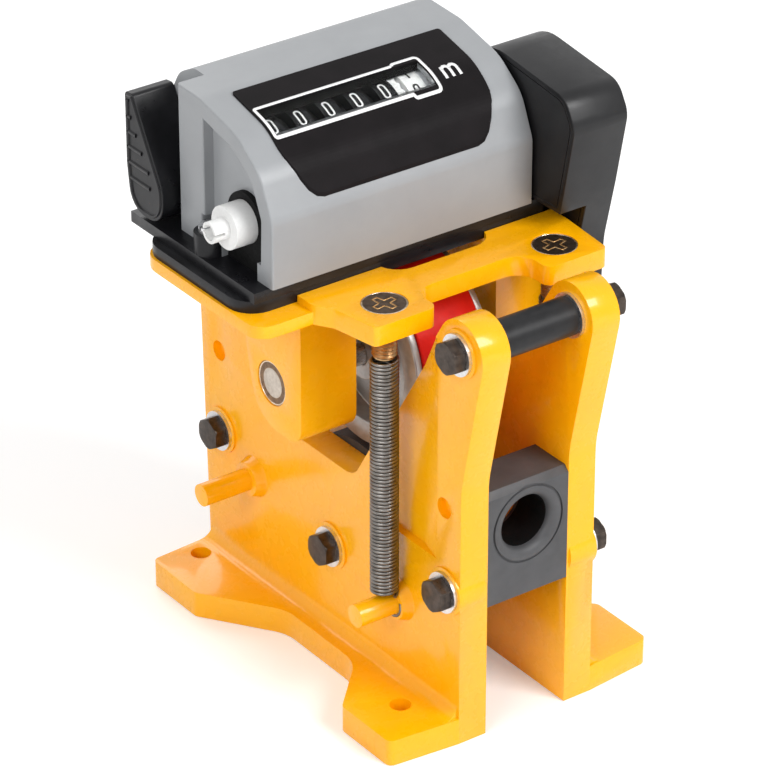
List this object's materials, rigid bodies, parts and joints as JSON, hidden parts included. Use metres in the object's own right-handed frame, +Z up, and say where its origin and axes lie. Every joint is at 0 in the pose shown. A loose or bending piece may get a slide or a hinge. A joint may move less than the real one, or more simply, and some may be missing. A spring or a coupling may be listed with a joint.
{
  "type": "cable length counter",
  "caption": "Benchtop cable measurer: a sprung carriage presses a measuring wheel on the cable over an idler and turns a resettable counter by belt.",
  "frame": {"origin": "centre of the four foot holes, on the plane that the feet stand on", "axes": "+Z up, the cable runs along Y from the front guide at -Y to the rear guide at +Y, the reset lever and setting knob are at -X and the belt cover at +X"},
  "size_m": [0.1329, 0.152, 0.2009],
  "materials": {
    "cast_yellow": "glossy amber powder coat on a casting",
    "guide_plastic": "dark grey moulded plastic, fine grain",
    "bolt_black": "black oxide steel, lightly oiled",
    "zinc": "bright zinc plate",
    "steel": "ground steel",
    "spring_steel": "drawn spring wire, oiled",
    "roller_rubber": "dark grey rubber",
    "bronze": "browned yellow-passivated metal",
    "counter_black": "black moulded plastic",
    "housing_grey": "light grey moulded plastic, satin",
    "label_black": "satin black label",
    "window_glass": "clear window",
    "cover_plastic": "dark grey moulded plastic, fine grain",
    "belt_rubber": "black toothed belt",
    "hub_metal": "turned aluminium",
    "tyre_red": "red rubber",
    "white_plastic": "white moulded plastic",
    "digit_black": "black moulded plastic, white numerals"
  },
  "bodies": {
    "frame": {"left_side_casting": "cast_yellow", "right_side_casting": "cast_yellow", "front_guide_block": "guide_plastic", "rear_guide_block": "guide_plastic", "tie_bolts": "bolt_black", "tie_nuts": "bolt_black", "washers": "zinc", "spacer_tube": "bolt_black", "idler_sleeve": "steel", "hinge_pin": "steel", "pin_clips": "zinc", "left_spring": "spring_steel", "right_spring": "spring_steel"},
    "idler": {"idler_roller": "roller_rubber"},
    "carriage": {"carriage_casting": "cast_yellow", "spring_screws": "bronze", "axle_bushes": "bronze", "adapter_plate": "counter_black", "adapter_screws": "zinc", "counter_base": "counter_black", "counter_screws": "zinc", "counter_frame": "counter_black", "counter_housing": "housing_grey", "label_panel": "label_black", "window_lens": "window_glass", "digit_shaft": "steel", "pinion_shaft": "steel", "belt_back_plate": "cover_plastic", "back_plate_screws": "zinc", "belt_cover": "cover_plastic", "cover_screws": "bolt_black", "drive_belt": "belt_rubber"},
    "measuring_wheel": {"wheel_axle": "steel", "wheel_hub": "hub_metal", "wheel_tyre": "tyre_red", "axle_pulley": "hub_metal"},
    "counter_drive": {"counter_shaft": "steel", "setting_knob": "white_plastic", "counter_pulley": "hub_metal", "drive_gear": "white_plastic"},
    "tenths": {"tenths_wheel": "white_plastic"},
    "reset": {"reset_lever": "counter_black", "reset_shaft": "steel"},
    "digit_1": {"digit_wheel_1": "digit_black"},
    "pinion_1": {"transfer_pinion_1": "white_plastic"},
    "digit_2": {"digit_wheel_2": "digit_black"},
    "pinion_2": {"transfer_pinion_2": "white_plastic"},
    "digit_3": {"digit_wheel_3": "digit_black"},
    "pinion_3": {"transfer_pinion_3": "white_plastic"},
    "digit_4": {"digit_wheel_4": "digit_black"},
    "pinion_4": {"transfer_pinion_4": "white_plastic"},
    "digit_5": {"digit_wheel_5": "digit_black"},
    "pinion_5": {"transfer_pinion_5": "white_plastic"}
  },
  "joints": [
    {"name": "carriage_lift", "type": "hinge", "parent": "frame", "child": "carriage", "pos_m": [0, 0.0568, 0.118], "axis": [-1, 0, 0], "range_deg": [0, 18], "stiffness_Nm_per_rad": 15, "springref_deg": -7.45, "deforming": ["left_spring", "right_spring"]},
    {"name": "wheel_spin", "type": "hinge", "parent": "carriage", "child": "measuring_wheel", "pos_m": [0, -0.0047, 0.1054], "axis": [1, 0, 0], "continuous": true},
    {"name": "idler_spin", "type": "hinge", "parent": "frame", "child": "idler", "pos_m": [0, -0.0057, 0.0393], "axis": [1, 0, 0], "continuous": true},
    {"name": "counter_spin", "type": "hinge", "parent": "carriage", "child": "counter_drive", "pos_m": [0, -0.0077, 0.1665], "axis": [1, 0, 0], "continuous": true},
    {"name": "tenths_spin", "type": "hinge", "parent": "carriage", "child": "tenths", "pos_m": [0, 0.001, 0.1816], "axis": [1, 0, 0], "continuous": true},
    {"name": "reset_pull", "type": "hinge", "parent": "carriage", "child": "reset", "pos_m": [0, 0.0348, 0.161], "axis": [-1, 0, 0], "range_deg": [0, 30], "stiffness_Nm_per_rad": 0.08, "springref_deg": -17.19},
    {"name": "digit_1_spin", "type": "hinge", "parent": "carriage", "child": "digit_1", "pos_m": [0, 0.001, 0.1816], "axis": [1, 0, 0], "continuous": true},
    {"name": "pinion_1_spin", "type": "hinge", "parent": "carriage", "child": "pinion_1", "pos_m": [0, 0.0113, 0.1721], "axis": [1, 0, 0], "continuous": true},
    {"name": "digit_2_spin", "type": "hinge", "parent": "carriage", "child": "digit_2", "pos_m": [0, 0.001, 0.1816], "axis": [1, 0, 0], "continuous": true},
    {"name": "pinion_2_spin", "type": "hinge", "parent": "carriage", "child": "pinion_2", "pos_m": [0, 0.0113, 0.1721], "axis": [1, 0, 0], "continuous": true},
    {"name": "digit_3_spin", "type": "hinge", "parent": "carriage", "child": "digit_3", "pos_m": [0, 0.001, 0.1816], "axis": [1, 0, 0], "continuous": true},
    {"name": "pinion_3_spin", "type": "hinge", "parent": "carriage", "child": "pinion_3", "pos_m": [0, 0.0113, 0.1721], "axis": [1, 0, 0], "continuous": true},
    {"name": "digit_4_spin", "type": "hinge", "parent": "carriage", "child": "digit_4", "pos_m": [0, 0.001, 0.1816], "axis": [1, 0, 0], "continuous": true},
    {"name": "pinion_4_spin", "type": "hinge", "parent": "carriage", "child": "pinion_4", "pos_m": [0, 0.0113, 0.1721], "axis": [1, 0, 0], "continuous": true},
    {"name": "digit_5_spin", "type": "hinge", "parent": "carriage", "child": "digit_5", "pos_m": [0, 0.001, 0.1816], "axis": [1, 0, 0], "continuous": true},
    {"name": "pinion_5_spin", "type": "hinge", "parent": "carriage", "child": "pinion_5", "pos_m": [0, 0.0113, 0.1721], "axis": [1, 0, 0], "continuous": true}
  ],
  "couplings": [
    {"joint": "counter_spin", "follows": "wheel_spin", "ratio": 0.5},
    {"joint": "tenths_spin", "follows": "wheel_spin", "ratio": -0.2},
    {"joint": "digit_1_spin", "follows": "wheel_spin", "ratio": -0.02},
    {"joint": "pinion_1_spin", "follows": "wheel_spin", "ratio": 0.05},
    {"joint": "digit_2_spin", "follows": "wheel_spin", "ratio": -0.002},
    {"joint": "pinion_2_spin", "follows": "wheel_spin", "ratio": 0.005},
    {"joint": "digit_3_spin", "follows": "wheel_spin", "ratio": -0.0002},
    {"joint": "pinion_3_spin", "follows": "wheel_spin", "ratio": 0.0005},
    {"joint": "digit_4_spin", "follows": "wheel_spin", "ratio": -0.00002},
    {"joint": "pinion_4_spin", "follows": "wheel_spin", "ratio": 0.00005},
    {"joint": "digit_5_spin", "follows": "wheel_spin", "ratio": -0.000002},
    {"joint": "pinion_5_spin", "follows": "wheel_spin", "ratio": 0.000005}
  ]
}
